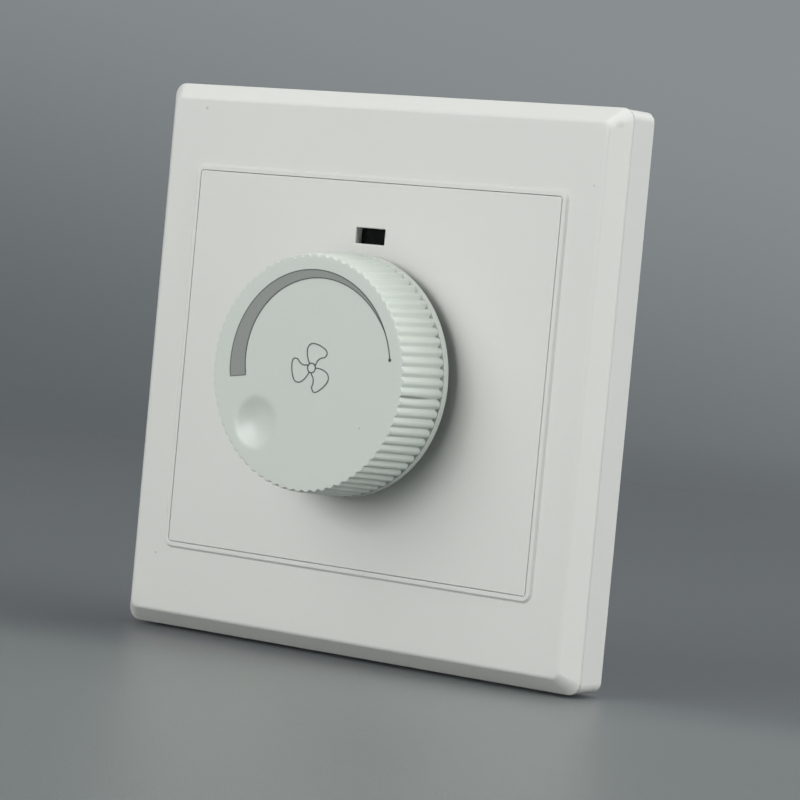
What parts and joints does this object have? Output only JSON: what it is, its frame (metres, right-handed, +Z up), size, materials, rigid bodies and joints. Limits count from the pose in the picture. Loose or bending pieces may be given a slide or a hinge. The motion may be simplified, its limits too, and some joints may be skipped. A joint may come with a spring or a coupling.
{
  "type": "fan speed control switch",
  "caption": "Square wall plate with a ridged rotary knob, a tapering speed scale and a small indicator window; a box behind holds the speed control.",
  "frame": {"origin": "centre of the two-screw wall pattern on the wall plane, on the knob's axis", "axes": "+X to the right seen from the room, +Y into the wall, +Z up; the front faces -Y"},
  "size_m": [0.086, 0.05, 0.086],
  "materials": {
    "cover_plastic": "satin, moulded",
    "housing_plastic": "satin, moulded",
    "knob_plastic": "satin, moulded, faintly green white",
    "smoked_plastic": "polished smoked plastic",
    "shaft_plastic": "moulded nylon",
    "black_plastic": "moulded phenolic or epoxy",
    "terminal_plastic": "moulded polyamide",
    "scale_ink": "pad-printed grey ink",
    "line_ink": "pad-printed dark grey ink",
    "zinc_steel": "zinc-plated steel",
    "zinc_casting": "die-cast zinc",
    "tinned_steel": "tinned sheet",
    "aluminium_sheet": "mill finish sheet",
    "brass": "plain brass",
    "copper_wire": "enamelled copper wire",
    "board_laminate": "paper phenolic laminate",
    "lamp_epoxy": "red diffused epoxy",
    "yellow_case": "moulded case",
    "red_case": "dipped case",
    "iron_powder": "coated iron powder",
    "resistor_lacquer": "lacquer",
    "blue_glass": "glass bead"
  },
  "bodies": {
    "base": {"front_cover": "cover_plastic", "centre_panel": "cover_plastic", "indicator_lens": "smoked_plastic", "mounting_frame": "cover_plastic", "rear_housing": "housing_plastic", "housing_screws": "zinc_steel", "circuit_board": "board_laminate", "board_screws": "zinc_steel", "pot_bushing": "zinc_casting", "pot_washer": "zinc_steel", "pot_nut": "zinc_steel", "pot_can": "tinned_steel", "pot_track": "board_laminate", "pot_pins": "tinned_steel", "switch_can": "black_plastic", "indicator_lamp": "lamp_epoxy", "triac": "black_plastic", "triac_screw": "zinc_steel", "triac_nut": "zinc_steel", "heat_sink": "aluminium_sheet", "film_capacitor": "yellow_case", "timing_capacitor": "red_case", "choke_core": "iron_powder", "choke_winding": "copper_wire", "resistors": "resistor_lacquer", "diac": "blue_glass", "terminal_block": "terminal_plastic", "terminal_clamps": "brass", "terminal_screws": "zinc_steel"},
    "knob": {"knob": "knob_plastic", "grip_ring": "zinc_steel", "scale_band": "scale_ink", "dial_lines": "line_ink", "pot_shaft": "shaft_plastic", "retaining_ring": "zinc_steel", "wiper_rotor": "black_plastic", "wiper_contact": "brass"}
  },
  "joints": [
    {"name": "knob_turn", "type": "hinge", "parent": "base", "child": "knob", "pos_m": [0, 0, 0], "axis": [0, 1, 0], "range_deg": [0, 270]}
  ]
}
